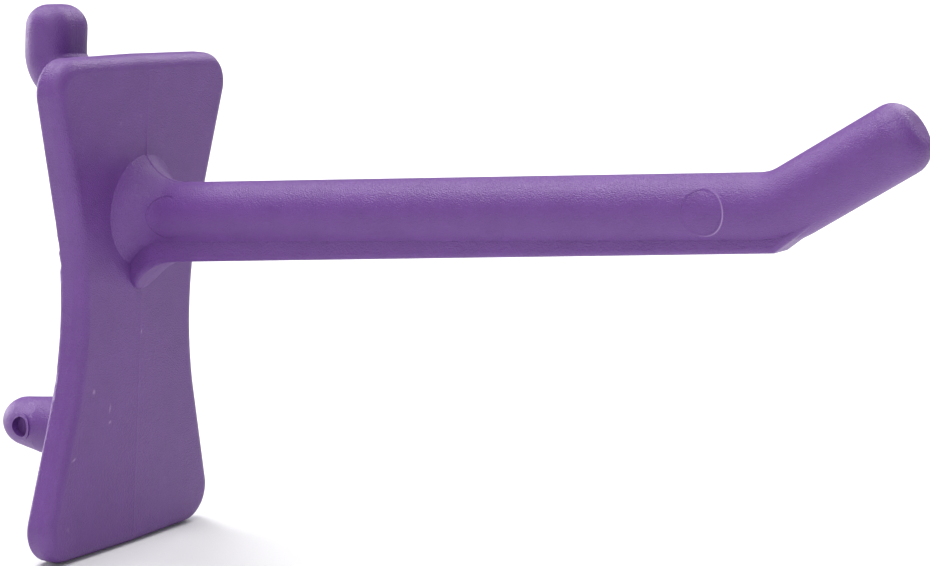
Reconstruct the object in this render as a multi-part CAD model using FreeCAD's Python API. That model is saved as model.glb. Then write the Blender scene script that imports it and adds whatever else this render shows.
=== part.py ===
import FreeCAD, Part
import os
from math import cos, radians, sin, tan

# Pegboard hook, moulded in one piece, in millimetres.
# The plate's back lies on the board at X = 0 with its middle at the origin.
# X points out of the board, Z up, and Y = 0 is the plane where the mould halves met.

# Plate
PLATE_HEIGHT = 37.9
WAIST_WIDTH = 14.3
SIDE_ANGLE = 15.6
WAIST_HEIGHT = -0.4
WAIST_RADIUS = 28.0
PLATE_THICKNESS = 2.3
FRONT_DRAFT = 0.6
END_DRAFT = 0.65
TOP_CORNER_RADIUS = 2.4
BOTTOM_CORNER_RADIUS = 2.7
FRONT_EDGE_RADIUS = 1.0
BACK_EDGE_RADIUS = 0.4

# Arm: a round rod with a tapered rib under it, and a bent tip
ROD_DIAMETER = 4.9
ARM_ROOT_HEIGHT = 6.85
ARM_RISE = 7.0
ARM_REACH = 51.4
RIB_WIDTH = 3.15
RIB_DEPTH_AT_ROOT = 1.04
RIB_DEPTH_AT_BEND = 0.36
RIB_EDGE_RADIUS = 0.4
RIB_FADE = 4.0
FLARE_RADIUS = 3.6
GUSSET_RADIUS = 4.9
FLARE_SINK = 0.5
BEND_RADIUS = 5.0
TIP_ANGLE = 28.0
TIP_LENGTH = 10.9
TIP_EDGE_RADIUS = 1.6

# Pegs behind the plate
HOLE_SPACING = 25.4
LOWER_PEG_HEIGHT = -10.8
PEG_DIAMETER = 4.5
PEG_STRAIGHT = 6.3
TAPER_LENGTH = 2.2
TAPER_END_RADIUS = 1.93
NOSE_LENGTH = 3.95
POINT_RADIUS = 0.5
POINT_ROUND = 0.6
BOARD_GAP = 4.6
FINGER_DEPTH = 3.9
FINGER_WIDTH = 5.1
FINGER_CORNER_RADIUS = 1.85
FINGER_END_RADIUS = 1.8
FINGER_RISE = 7.55
NECK_SLOPE = 26.0
NECK_DROP = 0.55
NECK_BEND_RADIUS = 2.2

# Ejector marks on the near side
MARK_DIAMETER = 3.175
MARK_DEPTH = 0.04
ROOT_MARK_DISTANCE = 3.6
BEND_MARK_DISTANCE = 46.75
PEG_MARK_DIAMETER = 1.6
PEG_MARK_DEPTH = 0.9
PEG_MARK_DISTANCE = 7.4
PEG_MARK_RIM_WIDTH = 0.25
PEG_MARK_RIM_HEIGHT = 0.1

V = FreeCAD.Vector
ACROSS = V(0, 1, 0)
OUT = V(1, 0, 0)
UP = V(0, 0, 1)
ROD_RADIUS = ROD_DIAMETER / 2

# How far joined shapes run into each other, and how near two points count as one
OVERLAP = 1.2
FLARE_MARGIN = 1.2
SAME_PLACE = 0.001


def slanted(angle):
    """Unit direction in the plane Y = 0, at an angle above the X axis."""
    return V(cos(radians(angle)), 0, sin(radians(angle)))


def prism(corners, along):
    """Solid swept from a closed polygon."""
    return Part.Face(Part.makePolygon(corners + corners[:1])).extrude(along)


def fillet(solid, radius, wanted):
    """Round every edge whose middle point passes the test."""
    middles = [(e.valueAt((e.FirstParameter + e.LastParameter) / 2), e) for e in solid.Edges]
    return solid.makeFillet(radius, [e for p, e in middles if wanted(p, e)])


def near_half(solid):
    """The part of a solid on the near side of the mould's parting plane."""
    size = 4 * ARM_REACH
    return solid.common(Part.makeBox(size, size, size, V(-size / 2, -size, -size / 2)))


# Near half of the hourglass plate, its front and ends sloped for the mould
side = tan(radians(SIDE_ANGLE))
half_height = PLATE_HEIGHT / 2
bend_z = WAIST_RADIUS * sin(radians(SIDE_ANGLE))
bend_y = WAIST_WIDTH / 2 + WAIST_RADIUS * (1 - cos(radians(SIDE_ANGLE)))
end_slope = tan(radians(END_DRAFT))


def rim(sense):
    """End corner and side bend of the outline, upper for +1 and lower for -1."""
    straight = half_height - sense * WAIST_HEIGHT - bend_z
    y = (bend_y + side * straight) / (1 + side * end_slope)
    end_corner = V(0, -y, sense * (half_height - end_slope * y))
    return end_corner, V(0, -bend_y, WAIST_HEIGHT + sense * bend_z)


top_corner, top_bend = rim(1)
bottom_corner, bottom_bend = rim(-1)
waist = Part.Arc(top_bend, V(0, -WAIST_WIDTH / 2, WAIST_HEIGHT), bottom_bend).toShape()
rim_top = Part.makePolygon([V(0, 0, half_height), top_corner, top_bend])
rim_bottom = Part.makePolygon([bottom_bend, bottom_corner, V(0, 0, -half_height)])
middle = Part.makeLine(V(0, 0, -half_height), V(0, 0, half_height))
outline = Part.Wire(rim_top.Edges + [waist] + rim_bottom.Edges + [middle])
blank = Part.Face(outline).extrude(V(PLATE_THICKNESS, 0, 0))


def front_x(y):
    """Front face of the plate at a distance from its middle."""
    return PLATE_THICKNESS - tan(radians(FRONT_DRAFT)) * abs(y)


def on_front(p, inset=0):
    """Whether a point lies on the plate's front face, or on that face set back."""
    return abs(p.x - front_x(p.y) + inset) < SAME_PLACE


def off_middle(p):
    """Whether a point lies clear of the parting plane."""
    return p.y < -SAME_PLACE


def front_slab(width, low, high, inset=0):
    """Block behind the plate's front face, or behind that face set back."""
    front = [V(front_x(y) - inset, -y, low) for y in (0, width)]
    return prism([V(0, 0, low)] + front + [V(0, -width, low)], V(0, 0, high - low))


def behind_front(inset):
    """Everything behind the plate's front face set back."""
    return front_slab(PLATE_HEIGHT, -PLATE_HEIGHT, PLATE_HEIGHT, inset)


plate = blank.common(behind_front(0))
for spot, radius in ((top_corner, TOP_CORNER_RADIUS), (bottom_corner, BOTTOM_CORNER_RADIUS)):
    plate = fillet(plate, radius, lambda p, e: (p - spot).cross(OUT).Length < SAME_PLACE)
plate = fillet(plate, FRONT_EDGE_RADIUS, lambda p, e: off_middle(p) and on_front(p))
plate = fillet(plate, BACK_EDGE_RADIUS, lambda p, e: off_middle(p) and abs(p.x) < SAME_PLACE)

# Rod, short bend and tip, all of one round section
root = V(PLATE_THICKNESS, 0, ARM_ROOT_HEIGHT)
arm = slanted(ARM_RISE)
arm_up = slanted(ARM_RISE + 90)
tip_way = slanted(ARM_RISE + TIP_ANGLE)
tip_down = slanted(ARM_RISE + TIP_ANGLE - 90)
bend = root + arm * ARM_REACH
bend_run = BEND_RADIUS * tan(radians(TIP_ANGLE / 2))
bend_start = bend - arm * bend_run
tip_start = bend + tip_way * bend_run
tip_end = bend + tip_way * TIP_LENGTH


rod_end = Part.Face(Part.Wire(Part.makeCircle(ROD_RADIUS, bend_start, arm)))
elbow = rod_end.revolve(bend_start + arm_up * BEND_RADIUS, -ACROSS, TIP_ANGLE)
tip = Part.makeCylinder(ROD_RADIUS, TIP_LENGTH - bend_run, tip_start, tip_way)
tip = fillet(tip, TIP_EDGE_RADIUS, lambda p, e: (p - tip_end).Length < ROD_RADIUS + SAME_PLACE)

# Rib under the rod: its lower edge closes on the rod towards the bend and fades into the tip,
# and at the root it curves down into the plate as a gusset
mitre_run = ROD_RADIUS * tan(radians(TIP_ANGLE / 2))
rib_slope = (RIB_DEPTH_AT_ROOT - RIB_DEPTH_AT_BEND) / ARM_REACH
tip_slope = tan(radians(TIP_ANGLE))
rib_end = ARM_REACH + (mitre_run * tip_slope - RIB_DEPTH_AT_BEND) / (tip_slope - rib_slope)


def on_arm(along, above):
    """Point in the plane Y = 0, measured from the arm's root."""
    return root + arm * along + arm_up * above


def rib_bottom(along):
    """Height of the rib's lower edge below the rod's middle line."""
    return -ROD_RADIUS - RIB_DEPTH_AT_ROOT + rib_slope * along


flush = (ROD_RADIUS ** 2 - (RIB_WIDTH / 2) ** 2) ** 0.5
rib_start = on_arm(0, rib_bottom(0))
rib_corner = on_arm(rib_end, rib_bottom(rib_end))
rib_fade = bend + tip_way * RIB_FADE + tip_down * flush
rib_way = (rib_corner - rib_start).normalize()
rib_down = ACROSS.cross(rib_way)
gusset_x = PLATE_THICKNESS - FLARE_SINK + GUSSET_RADIUS
gusset_run = gusset_x - (rib_start + rib_down * GUSSET_RADIUS).x
gusset_start = rib_start + rib_way * (gusset_run / rib_way.x)
gusset_centre = gusset_start + rib_down * GUSSET_RADIUS
gusset_foot = gusset_centre - OUT * GUSSET_RADIUS
gusset_middle = gusset_centre - (rib_down + OUT).normalize() * GUSSET_RADIUS
gusset = Part.Arc(gusset_foot, gusset_middle, gusset_start).toShape()
rest_of_rib = [gusset_start, rib_corner, rib_fade, bend, on_arm(-OVERLAP, 0), gusset_foot]
rib_side = Part.Face(Part.Wire([gusset] + Part.makePolygon(rest_of_rib).Edges))

# Seen from the front, the rib and its gusset end below in a half circle
half_width = RIB_WIDTH / 2
foot_rise = (GUSSET_RADIUS ** 2 - (GUSSET_RADIUS - FLARE_SINK) ** 2) ** 0.5
foot_centre = V(0, 0, gusset_centre.z + foot_rise + half_width)
foot_low = foot_centre - UP * half_width
foot_near = foot_centre - ACROSS * half_width
foot_arc = Part.Arc(foot_low, foot_centre - (UP + ACROSS).normalize() * half_width, foot_near).toShape()
rib_top = UP * tip_end.z
foot_lines = Part.makePolygon([foot_near, rib_top - ACROSS * half_width, rib_top, foot_low])
rib_front = Part.Face(Part.Wire([foot_arc] + foot_lines.Edges))
rib = rib_side.extrude(ACROSS * -RIB_WIDTH).common(rib_front.extrude(OUT * tip_end.x))
lower_spots = [(gusset_start + rib_corner) / 2, (rib_corner + rib_fade) / 2]


def on_lower_edge(p, e):
    """Whether an edge is one of the near lower edges of the rib."""
    return min((p + ACROSS * half_width - q).Length for q in lower_spots) < SAME_PLACE


rib = fillet(rib, RIB_EDGE_RADIUS, on_lower_edge)

# Flare of the rod: it curves out towards a face sunk in the plate, and so meets the front at an edge
flare_width = ROD_RADIUS + FLARE_RADIUS + FLARE_MARGIN


def flared_rod(inset):
    """Near half of the rod with its flare, the whole surface moved in by a depth."""
    sink = FLARE_SINK + inset
    length = ARM_REACH - bend_run + OVERLAP
    rod = Part.makeCylinder(ROD_RADIUS - inset, length, root - arm * OVERLAP, arm)
    block = front_slab(flare_width, root.z - flare_width, root.z + flare_width, sink)
    joined = block.fuse(near_half(rod)).removeSplitter()

    def is_root(p, e):
        spots = [v.Point for v in e.Vertexes] + [p]
        flat = all(on_front(q, sink) for q in spots)
        return flat and off_middle(p) and (p - root).Length < ROD_DIAMETER

    return fillet(joined, FLARE_RADIUS + inset, is_root).cut(behind_front(FLARE_SINK / 2))


arm_halves = [flared_rod(0), rib, near_half(elbow), near_half(tip)]
half = plate.fuse(arm_halves).removeSplitter()
body = half.fuse(half.mirror(V(0, 0, 0), ACROSS)).removeSplitter()

# Lower peg: a plain pin with a tapered and then rounded nose
peg_root = V(0, 0, LOWER_PEG_HEIGHT)
peg_radius = PEG_DIAMETER / 2


def on_peg(depth, radius):
    """Point above the peg's middle line, at a depth behind the plate."""
    return peg_root - OUT * depth + UP * radius


def peg_of(growth):
    """The peg, turned from its profile with all its radii grown alike."""
    start = on_peg(-OVERLAP, peg_radius + growth)
    neck = on_peg(PEG_STRAIGHT, peg_radius + growth)
    shoulder = on_peg(PEG_STRAIGHT + TAPER_LENGTH, TAPER_END_RADIUS + growth)
    point = on_peg(PEG_STRAIGHT + NOSE_LENGTH, POINT_RADIUS + growth)
    nose_end = on_peg(PEG_STRAIGHT + NOSE_LENGTH, 0)
    chord = point - shoulder
    bulge = ACROSS.cross(chord) / 2 * tan(chord.getAngle(shoulder - neck) / 2)
    nose = Part.Arc(shoulder, shoulder + chord / 2 + bulge, point).toShape()
    straights = Part.makePolygon([point, nose_end, on_peg(-OVERLAP, 0), start, neck, shoulder])
    turned = Part.Face(Part.Wire(straights.Edges + [nose])).revolve(peg_root, OUT, 360)
    return fillet(turned, POINT_ROUND, lambda p, e: e.Closed and abs(p.x - point.x) < SAME_PLACE)


# Upper finger: a sloping neck through the board, bent up behind it
finger_x = -BOARD_GAP - FINGER_DEPTH / 2
hole_z = LOWER_PEG_HEIGHT + HOLE_SPACING
neck_way = slanted(180 - NECK_SLOPE)
neck_up = slanted(90 - NECK_SLOPE)
neck_root = V(0, 0, hole_z - NECK_DROP)
neck_start = neck_root - neck_way * OVERLAP
knee = neck_root + neck_way * (-finger_x / cos(radians(NECK_SLOPE)))
turn = 90 - NECK_SLOPE
tangent = NECK_BEND_RADIUS * tan(radians(turn / 2))
arc_start = knee - neck_way * tangent
arc_end = knee + UP * tangent
arc_centre = arc_end + OUT * NECK_BEND_RADIUS
arc_middle = arc_centre + slanted(180 + turn / 2) * NECK_BEND_RADIUS
finger_top = V(finger_x, 0, hole_z + FINGER_RISE)
path = Part.Wire([
    Part.makeLine(neck_start, arc_start),
    Part.Arc(arc_start, arc_middle, arc_end).toShape(),
    Part.makeLine(arc_end, finger_top),
])
corner = neck_start - neck_up * (FINGER_DEPTH / 2) - ACROSS * (FINGER_WIDTH / 2)
section = [
    corner,
    corner + ACROSS * FINGER_WIDTH,
    corner + ACROSS * FINGER_WIDTH + neck_up * FINGER_DEPTH,
    corner + neck_up * FINGER_DEPTH,
]
bar = prism(section, neck_way * OVERLAP)
bar = fillet(bar, FINGER_CORNER_RADIUS, lambda p, e: abs(e.Length - OVERLAP) < SAME_PLACE)
section_face = [f for f in bar.Faces if (f.CenterOfMass - neck_start).Length < SAME_PLACE][0]
finger = path.makePipeShell([section_face.OuterWire], True, False)
finger = fillet(finger, FINGER_END_RADIUS, lambda p, e: abs(p.z - finger_top.z) < SAME_PLACE)

# Ejector marks: two sunk a little below the arm's own surface, a deeper one with a rim on the peg
inner_arm = flared_rod(MARK_DEPTH)
marks = []
for distance in (ROOT_MARK_DISTANCE, BEND_MARK_DISTANCE):
    mark = Part.makeCylinder(MARK_DIAMETER / 2, ROD_DIAMETER, on_arm(distance, 0), -ACROSS)
    marks.append(mark.cut(inner_arm))


def across_peg(radius):
    """Round post out of the peg's near side, from the floor of its mark."""
    floor = on_peg(PEG_MARK_DISTANCE, 0) - ACROSS * (peg_radius - PEG_MARK_DEPTH)
    return Part.makeCylinder(radius, PEG_DIAMETER, floor, -ACROSS)


peg_mark = across_peg(PEG_MARK_DIAMETER / 2)
peg_rim = across_peg(PEG_MARK_DIAMETER / 2 + PEG_MARK_RIM_WIDTH).common(peg_of(PEG_MARK_RIM_HEIGHT))
marks.append(peg_mark)

hook = body.fuse([peg_of(0), peg_rim, finger]).removeSplitter()
hook = hook.cut(Part.makeCompound(marks))
hook = hook.Solids[0]

os.makedirs("parts", exist_ok=True)
hook.exportStep("parts/hook.step")
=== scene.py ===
# %% [markdown]
# The hook is one moulding: plate, arm, peg and finger were filled with plastic in one shot.
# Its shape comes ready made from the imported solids, so this lesson only dresses it: a camera that
# stands where the photographer stood, the light, the fine seam and ring that the mould left on
# the surface, and the plastic with its grain and its scuffs.
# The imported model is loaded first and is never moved, because everything else is placed by it.

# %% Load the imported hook
import bpy
import numpy as np
from math import radians
from mathutils import Matrix, Vector


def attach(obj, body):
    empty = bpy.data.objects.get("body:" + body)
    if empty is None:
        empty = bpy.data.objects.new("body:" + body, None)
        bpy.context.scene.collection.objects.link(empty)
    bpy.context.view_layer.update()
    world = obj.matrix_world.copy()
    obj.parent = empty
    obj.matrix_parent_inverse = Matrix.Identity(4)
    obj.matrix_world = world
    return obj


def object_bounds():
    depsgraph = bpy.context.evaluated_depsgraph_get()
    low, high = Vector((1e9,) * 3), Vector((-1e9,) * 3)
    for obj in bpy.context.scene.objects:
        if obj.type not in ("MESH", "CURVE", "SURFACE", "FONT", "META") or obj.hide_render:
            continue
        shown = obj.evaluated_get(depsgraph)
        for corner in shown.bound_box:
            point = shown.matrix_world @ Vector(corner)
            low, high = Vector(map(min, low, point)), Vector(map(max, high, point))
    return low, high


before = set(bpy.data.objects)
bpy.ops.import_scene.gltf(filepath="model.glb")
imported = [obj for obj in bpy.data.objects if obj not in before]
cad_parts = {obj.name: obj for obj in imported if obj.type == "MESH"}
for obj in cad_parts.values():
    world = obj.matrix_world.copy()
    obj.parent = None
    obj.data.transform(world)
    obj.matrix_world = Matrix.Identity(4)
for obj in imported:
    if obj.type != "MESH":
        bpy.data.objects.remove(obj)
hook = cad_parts["hook"]
cad_low, cad_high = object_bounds()
MM = 0.001
print("hook box in mm", [round(side / MM, 2) for side in cad_high - cad_low])

# %% [markdown]
# The camera could be aimed by eye, but the straight edges of the plate and the arm fix it better.
# Its place and its three turns were solved from those edges in a picture 930 pixels wide.
# A focal length in pixels becomes a lens in millimetres once it is set against the sensor's width.

# %% Camera at the photograph's angle
PICTURE_WIDTH = 930
FOCAL_LENGTH_PIXELS = 2400
SENSOR_WIDTH = 36.0
NEAREST_SEEN = 10 * MM
CAMERA_PLACE = Vector((109.44, -147.02, 32.69)) * MM
# The three turns are in degrees
CAMERA_AZIMUTH = 28.32
CAMERA_ELEVATION = 9.34
CAMERA_ROLL = 3.27

camera_data = bpy.data.cameras.new("photo_camera")
camera_data.sensor_fit = "HORIZONTAL"
camera_data.sensor_width = SENSOR_WIDTH
camera_data.lens = SENSOR_WIDTH * FOCAL_LENGTH_PIXELS / PICTURE_WIDTH
camera_data.clip_start = NEAREST_SEEN
camera = bpy.data.objects.new("photo_camera", camera_data)
bpy.context.scene.collection.objects.link(camera)
turn = Matrix.Rotation(radians(CAMERA_AZIMUTH), 4, "Z")
tilt = Matrix.Rotation(radians(90 - CAMERA_ELEVATION), 4, "X")
roll = Matrix.Rotation(radians(CAMERA_ROLL), 4, "Z")
camera.matrix_world = Matrix.Translation(CAMERA_PLACE) @ turn @ tilt @ roll
bpy.context.scene.camera = camera
print("lens", round(camera_data.lens, 1), "mm")

# %% [markdown]
# Colours are written as hex values, as a paint program shows them.
# Blender's shaders work in linear light, so one function undoes the sRGB curve.

# %% Colours from hex values
def linear(hex_value):
    """sRGB hex to linear RGBA: values up to 0.04045 are divided, the rest follow a power of 2.4."""
    srgb = np.array([int(hex_value[i:i + 2], 16) for i in (0, 2, 4)]) / 255
    rgb = np.where(srgb <= 0.04045, srgb / 12.92, ((srgb + 0.055) / 1.055) ** 2.4)
    return (*rgb.tolist(), 1.0)


print("white in linear light", linear("FFFFFF"))

# %% [markdown]
# The hook stands on a white table, which throws light back up on the rib.
# A ready-made plane would do, but each new piece of this lesson is a grid of points, and one
# function turns any such grid into a mesh. The floor is its smallest case, two points by two.
# Its surface is matt, so that the hook is not mirrored in it.

# %% Floor
FLOOR_SIZE = 8.0
FLOOR_COLOUR = "E6E6E6"
FLOOR_ROUGHNESS = 0.9


def grid_mesh(name, points, closed_u=False, closed_v=False):
    """Mesh object from a grid of points: each cell of the grid is one four-sided face."""
    rows, columns = points.shape[:2]
    index = np.arange(rows * columns).reshape(rows, columns)
    index = np.vstack([index, index[:1]]) if closed_u else index
    index = np.hstack([index, index[:, :1]]) if closed_v else index
    faces = np.stack([index[:-1, :-1], index[1:, :-1], index[1:, 1:], index[:-1, 1:]], axis=-1)
    mesh = bpy.data.meshes.new(name)
    mesh.from_pydata(points.reshape(-1, 3).tolist(), [], faces.reshape(-1, 4).tolist())
    made = bpy.data.objects.new(name, mesh)
    bpy.context.scene.collection.objects.link(made)
    return made


edges = np.array([-FLOOR_SIZE / 2, FLOOR_SIZE / 2])
floor_x, floor_y = np.meshgrid(edges, edges, indexing="ij")
floor = grid_mesh("floor", np.stack([floor_x, floor_y, np.full((2, 2), cad_low.z)], axis=-1))
white_table = bpy.data.materials.new("white_table")
white_table.use_nodes = True
table_shader = white_table.node_tree.nodes["Principled BSDF"]
table_shader.inputs["Base Color"].default_value = linear(FLOOR_COLOUR)
table_shader.inputs["Roughness"].default_value = FLOOR_ROUGHNESS
floor.data.materials.append(white_table)
print("floor", FLOOR_SIZE, "m wide")

# %% [markdown]
# The room is bright, so light reaches the hook from all round, and a white world gives that.
# One sun or one lamp would be simpler, but each side of the hook has a brightness of its own.
# A wide softbox overhead on the left is mirrored in the upper side of the arm and gives its sheen.
# One in front and a weak lamp beside the camera fill the near sides, one behind lights the far
# side of the flared root, and a low window on the left picks out the nose of the peg.

# %% Light
WORLD_COLOUR = "FFFFFF"
WORLD_STRENGTH = 0.2
# Places and sizes are in metres, powers in watts
LAMPS = {
    "overhead_softbox": {"place": (-1.0, 0.05, 2.1), "size": 1.5, "power": 54.0},
    "front_softbox": {"place": (0.35, -0.75, 1.6), "size": 0.8, "power": 15.5},
    "back_softbox": {"place": (0.05, 1.1, 0.9), "size": 0.9, "power": 11.0},
    "room_lamp": {"place": (0.7, -1.0, 0.4), "size": 0.6, "power": 3.0},
    "left_window": {"place": (-1.1, 0.15, 0.15), "size": 0.5, "power": 8.0},
}

world = bpy.data.worlds.new("white_room")
world.use_nodes = True
background = world.node_tree.nodes["Background"]
background.inputs["Color"].default_value = linear(WORLD_COLOUR)
background.inputs["Strength"].default_value = WORLD_STRENGTH
bpy.context.scene.world = world
bpy.context.scene.view_settings.view_transform = "Standard"

for name, lamp in LAMPS.items():
    light = bpy.data.lights.new(name, "AREA")
    light.size = lamp["size"]
    light.energy = lamp["power"]
    holder = bpy.data.objects.new(name, light)
    holder.location = lamp["place"]
    holder.rotation_euler = (-holder.location).to_track_quat("-Z", "Y").to_euler()
    bpy.context.scene.collection.objects.link(holder)
print("lamps", list(LAMPS))

# %% [markdown]
# Where the two halves of a mould meet, a little plastic creeps in and leaves a fine seam.
# Here the halves met on the plane Y = 0, so the seam runs right round the hook's outline.
# It could be drawn as a line in the material, but a real seam catches the light on one side,
# so it is a thin bead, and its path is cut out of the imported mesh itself.

# %% Outline of the hook in the mould's parting plane
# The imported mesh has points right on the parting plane, so the cut is made a hair beside it
CUT_OFFSET = 0.004 * MM
OUTLINE_STEP = 0.2 * MM
# Corners of triangles that agree to this many decimals of a metre are one point
SAME_POINT_DECIMALS = 8


def cut_outline(mesh, height):
    """Closed outline, as X and Z, where the plane Y = height cuts a triangle mesh.

    Each triangle that straddles the plane is one step of the outline. It starts on the side that
    comes up through the plane and ends on the side that goes down, which the next one shares.
    The walk from step to step is then doubled until it is round: each time, every step in it
    leaps as far ahead as the walk is long."""
    place = np.empty(len(mesh.vertices) * 3)
    mesh.vertices.foreach_get("co", place)
    corner = np.empty(len(mesh.loops), int)
    mesh.loops.foreach_get("vertex_index", corner)
    place = place.reshape(-1, 3).round(SAME_POINT_DECIMALS)
    place, same = np.unique(place, axis=0, return_inverse=True)
    start = same.ravel()[corner].reshape(-1, 3)
    end = np.roll(start, -1, axis=1)
    above = place[:, 1] > height
    straddles = above[start].any(axis=1) & ~above[start].all(axis=1)
    start, end = start[straddles], end[straddles]
    rises = ~above[start] & above[end]
    falls = above[start] & ~above[end]
    low, high = start[rises], end[rises]
    share = (height - place[low, 1]) / (place[high, 1] - place[low, 1])
    points = place[low] + share[:, None] * (place[high] - place[low])
    key_in = low * len(place) + high
    key_out = end[falls] * len(place) + start[falls]
    order = np.argsort(key_in)
    leap = order[np.searchsorted(key_in, key_out, sorter=order)]
    walk = np.array([0])
    while len(walk) <= len(leap):
        walk = np.concatenate([walk, leap[walk]])
        leap = leap[leap]
    back_at_start = np.flatnonzero(walk == 0)[1]
    return points[walk[:back_at_start]][:, [0, 2]]


def even_steps(outline, step):
    """The same closed outline with points at an even distance along it."""
    closed = np.vstack([outline, outline[:1]])
    along = np.r_[0, np.cumsum(np.linalg.norm(np.diff(closed, axis=0), axis=1))]
    wanted = np.linspace(0, along[-1], int(along[-1] / step), endpoint=False)
    return np.stack([np.interp(wanted, along, closed[:, k]) for k in (0, 1)], axis=1)


outline = even_steps(cut_outline(hook.data, CUT_OFFSET), OUTLINE_STEP)
print("outline of", len(outline), "points")

# %% [markdown]
# A bead is a low hump carried along a closed path, its lower half sunk in the plastic.
# It could be swept with a curve object, but a grid of points is closed by itself and exact.
# The function needs only the path and the direction out of the surface at each of its points.
# Over the arm's root the halves of the mould were a little out of line, so the seam is higher there.

# %% Bead of the mould seam
SEAM_WIDTH = 0.26 * MM
SEAM_HEIGHT = 0.012 * MM
BEAD_SIDES = 16
# Where the hook reaches the sides of its box, a bead stays this far below the surface, unseen
BOX_MARGIN = 0.005 * MM
ROOT_SEAM = np.array((3.2, 0.0, 11.0)) * MM
ROOT_SEAM_REACH = 2.0 * MM
ROOT_SEAM_HEIGHT = 0.05 * MM


def unit(vectors):
    """Rows of an array, each brought to length one."""
    return vectors / np.linalg.norm(vectors, axis=1, keepdims=True)


def steps_along(path):
    """Direction of a closed path at each point, from the point before to the point after."""
    return unit(np.roll(path, -1, axis=0) - np.roll(path, 1, axis=0))


def bead(name, path, out, width, height, sink):
    """Closed low hump along a path, with a height for each point of the path.

    Point (i, k) is path point i, moved sideways by half the width times the cosine of angle k.
    On the upper half it is also moved out, by height i less the square of that cosine times the
    height and the sink together, so that the crest stands proud and the rim lies one sink deep.
    On the lower half it is moved in, by the sink times one less the sine of the angle."""
    angle = np.arange(BEAD_SIDES) * 2 * np.pi / BEAD_SIDES
    sideways = width / 2 * np.cos(angle)
    hump = height[:, None] - (height[:, None] + sink) * np.cos(angle) ** 2
    hump = np.where(angle <= np.pi, hump, sink * (np.sin(angle) - 1))
    across = unit(np.cross(steps_along(path), out))
    points = path[:, None] + sideways[:, None] * across[:, None] + hump[..., None] * out[:, None]
    points = np.clip(points, np.array(cad_low) + BOX_MARGIN, np.array(cad_high) - BOX_MARGIN)
    made = grid_mesh(name, points, True, True)
    made.data.polygons.foreach_set("use_smooth", np.ones(len(made.data.polygons), bool))
    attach(made, "root")
    print(name, "faces", len(made.data.polygons))
    return made


seam_path = np.insert(outline, 1, 0, axis=1)
seam_out = unit(np.cross((0, 1, 0), steps_along(seam_path)))
from_root = np.linalg.norm(seam_path - ROOT_SEAM, axis=1) / ROOT_SEAM_REACH
seam_height = SEAM_HEIGHT + ROOT_SEAM_HEIGHT * np.exp(-from_root ** 2)
seam = bead("mould_seam", seam_path, seam_out, SEAM_WIDTH, seam_height, SEAM_HEIGHT)

# %% [markdown]
# Pins pushed the hook out of its mould, and each left a round mark.
# Round the pin near the bend a little plastic crept in as well and left a fine ring. One side of
# its crest is painted pale, a painted highlight where the light catches it. It is a circle seen
# from the side and laid on the round arm: every point is moved out along Y until it meets the rod.
# How much painted highlight each point takes goes with the mesh as an attribute, which the plastic
# reads later.

# %% Ring round the ejector mark near the bend
# The arm as it is in the solid: where it starts, how it rises and how thick its rod is
ARM_ROOT = np.array((2.3, 0.0, 6.85)) * MM
ARM_RISE = radians(7.0)
ROD_RADIUS = 2.45 * MM
RING_DISTANCE = 46.75 * MM
RING_RADIUS = 1.5875 * MM
RING_WIDTH = 0.4 * MM
RING_HEIGHT = 0.015 * MM
RING_SINK = 0.06 * MM
RING_POINTS = 96
# Painted highlight on one side of the ring's crest: the turn where it is brightest, and how strong
RING_HIGHLIGHT_TURN = radians(-25)
RING_HIGHLIGHT_SHARE = 0.8

along_arm = np.array((np.cos(ARM_RISE), 0.0, np.sin(ARM_RISE)))
up_arm = np.array((-np.sin(ARM_RISE), 0.0, np.cos(ARM_RISE)))
nearer = np.array((0.0, -1.0, 0.0))
turns = np.arange(RING_POINTS) * 2 * np.pi / RING_POINTS
rise = RING_RADIUS * np.sin(turns)
near = np.sqrt(ROD_RADIUS ** 2 - rise ** 2)
ring_out = (rise[:, None] * up_arm + near[:, None] * nearer) / ROD_RADIUS
distance = RING_DISTANCE + RING_RADIUS * np.cos(turns)
ring_path = ARM_ROOT + distance[:, None] * along_arm + ROD_RADIUS * ring_out
ring_height = np.full(RING_POINTS, RING_HEIGHT)
ring = bead("ejector_ring", ring_path, ring_out, RING_WIDTH, ring_height, RING_SINK)

# The crest lies a quarter of the way round the bead from its rim
crest = np.arange(BEAD_SIDES) == BEAD_SIDES // 4
# Painted highlight: how much of the pale colour each point of the crest takes
pale = RING_HIGHLIGHT_SHARE * np.clip(np.cos(turns - RING_HIGHLIGHT_TURN), 0, 1)
painted_highlight = ring.data.attributes.new("painted_highlight", "FLOAT", "POINT")
painted_highlight.data.foreach_set("value", np.outer(pale, crest).ravel())

# %% [markdown]
# The plastic is polypropylene, coloured all through and moulded against a steel face that was
# eroded by sparks. Such a face leaves tiny pits, which give a dull sheen in place of a mirror and
# a fine sparkle where the light grazes. The pigment is not quite even either, so the purple drifts.
# Both could be painted, but noise in Object coordinates covers every side without a seam.

# %% Grain and colour of the moulded polypropylene
PURPLE_DEEP = "593277"
PURPLE_PALE = "6C408F"
DRIFT_SIZE = 2.5 * MM
DRIFT_DETAIL = 6.0
DRIFT_ROUGHNESS = 0.7
ROUGHNESS = 0.45
IOR = 1.49
# The pits of a spark-eroded face are about 0.03 mm wide; they are drawn 0.09 mm wide to show here
PIT_SIZE = 0.09 * MM
PIT_DEPTH = 0.05 * MM
PIT_DETAIL = 0.0
# A Mix node keeps one set of sockets for each kind of value, and these are its places for colours
MIX_A, MIX_B, MIX_RESULT = 6, 7, 2


def add_node(tree, kind, inputs=None, **settings):
    """Add a shader node, set its properties, and fill or link its inputs."""
    node = tree.nodes.new(kind)
    for name, value in settings.items():
        setattr(node, name, value)
    for name, value in (inputs or {}).items():
        if isinstance(value, bpy.types.NodeSocket):
            tree.links.new(value, node.inputs[name])
        else:
            node.inputs[name].default_value = value
    return node


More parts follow.
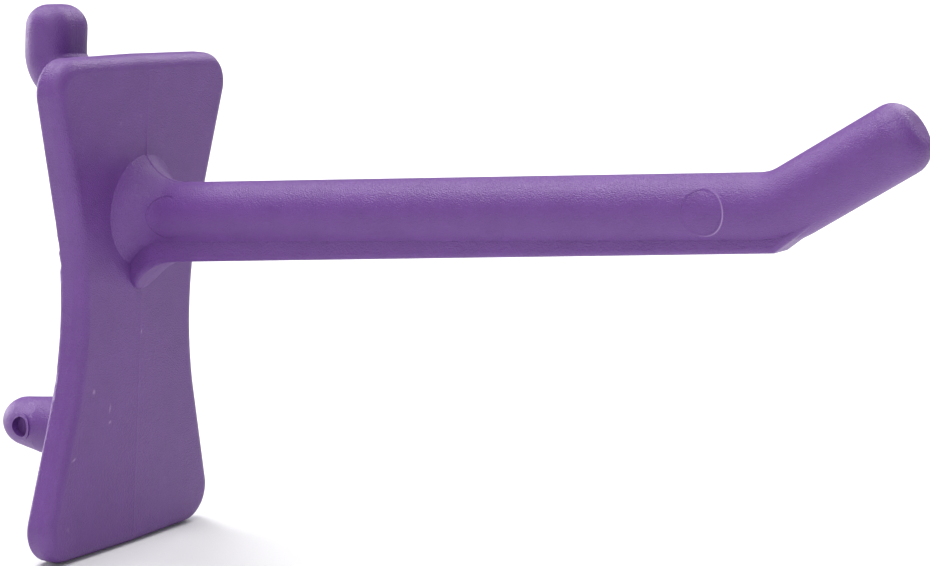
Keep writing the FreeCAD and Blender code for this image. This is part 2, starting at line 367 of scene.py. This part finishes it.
plastic = bpy.data.materials.new("moulded_purple_polypropylene")
plastic.use_nodes = True
tree = plastic.node_tree
shader = tree.nodes["Principled BSDF"]
shader.inputs["Roughness"].default_value = ROUGHNESS
shader.inputs["IOR"].default_value = IOR
place = add_node(tree, "ShaderNodeTexCoord").outputs["Object"]
drift = add_node(tree, "ShaderNodeTexNoise", {
    "Vector": place,
    "Scale": 1 / DRIFT_SIZE,
    "Detail": DRIFT_DETAIL,
    "Roughness": DRIFT_ROUGHNESS,
}).outputs["Fac"]
mix = {0: drift, MIX_A: linear(PURPLE_DEEP), MIX_B: linear(PURPLE_PALE)}
purple = add_node(tree, "ShaderNodeMix", mix, data_type="RGBA").outputs[MIX_RESULT]
pits = add_node(tree, "ShaderNodeTexNoise", {
    "Vector": place,
    "Scale": 1 / PIT_SIZE,
    "Detail": PIT_DETAIL,
}).outputs["Fac"]
grain = add_node(tree, "ShaderNodeBump", {"Height": pits, "Distance": PIT_DEPTH})
tree.links.new(grain.outputs["Normal"], shader.inputs["Normal"])
print("grain of", PIT_SIZE / MM, "mm")

# %% [markdown]
# Handling left a few pale flecks and one short scratch on the plate, all under a millimetre.
# They could be painted on a UV map, but the plate has none and each mark is a plain ellipse.
# A Mapping node moves, turns and shrinks space until the ellipse is a ball of radius one, and a
# spherical gradient fades from its middle to its rim. The ring's painted highlight comes last.

# %% Scuffs on the plate and the painted highlight on the ring
SCUFF_COLOUR = "9678AC"
FAINT_COLOUR = "7B5A95"
# Colour of the painted highlight on one side of the ring's crest
RING_HIGHLIGHT_COLOUR = "A78DBD"
# Places, half widths and half heights are in millimetres, turns in degrees
SCUFFS = [
    {"place": (2.24, -5.48, -6.03), "size": (0.22, 0.28), "turn": 0, "colour": SCUFF_COLOUR},
    {"place": (2.26, -3.46, -7.62), "size": (0.10, 0.48), "turn": -8, "colour": SCUFF_COLOUR},
    {"place": (2.26, -3.41, -8.68), "size": (0.22, 0.14), "turn": 20, "colour": SCUFF_COLOUR},
    {"place": (2.22, -7.62, -10.87), "size": (0.34, 0.12), "turn": 25, "colour": SCUFF_COLOUR},
    {"place": (2.30, 0.15, -2.14), "size": (0.10, 0.25), "turn": 0, "colour": SCUFF_COLOUR},
    {"place": (2.22, -8.08, -16.14), "size": (0.16, 0.30), "turn": 15, "colour": FAINT_COLOUR},
    {"place": (2.27, -3.27, 14.03), "size": (0.18, 0.18), "turn": 0, "colour": FAINT_COLOUR},
    {"place": (2.29, -0.85, 14.42), "size": (0.12, 0.18), "turn": 0, "colour": FAINT_COLOUR},
]
SCUFF_DEPTH = 0.3

colour = purple
for scuff in SCUFFS:
    ball = add_node(tree, "ShaderNodeMapping", {
        "Vector": place,
        "Location": Vector(scuff["place"]) * MM,
        "Rotation": (radians(scuff["turn"]), 0.0, 0.0),
        "Scale": Vector((SCUFF_DEPTH, *scuff["size"])) * MM,
    }, vector_type="TEXTURE").outputs["Vector"]
    fade = add_node(tree, "ShaderNodeTexGradient", {"Vector": ball}, gradient_type="SPHERICAL")
    mix = {0: fade.outputs["Fac"], MIX_A: colour, MIX_B: linear(scuff["colour"])}
    colour = add_node(tree, "ShaderNodeMix", mix, data_type="RGBA").outputs[MIX_RESULT]
# Painted highlight: the ring's crest is painted pale on the side where the light catches it
painted_highlight_share = add_node(tree, "ShaderNodeAttribute", attribute_name="painted_highlight").outputs["Fac"]
mix = {0: painted_highlight_share, MIX_A: colour, MIX_B: linear(RING_HIGHLIGHT_COLOUR)}
colour = add_node(tree, "ShaderNodeMix", mix, data_type="RGBA").outputs[MIX_RESULT]
tree.links.new(colour, shader.inputs["Base Color"])
hook.material_slots[0].material = plastic
for made in (seam, ring):
    made.data.materials.append(plastic)
print("scuffs", len(SCUFFS))
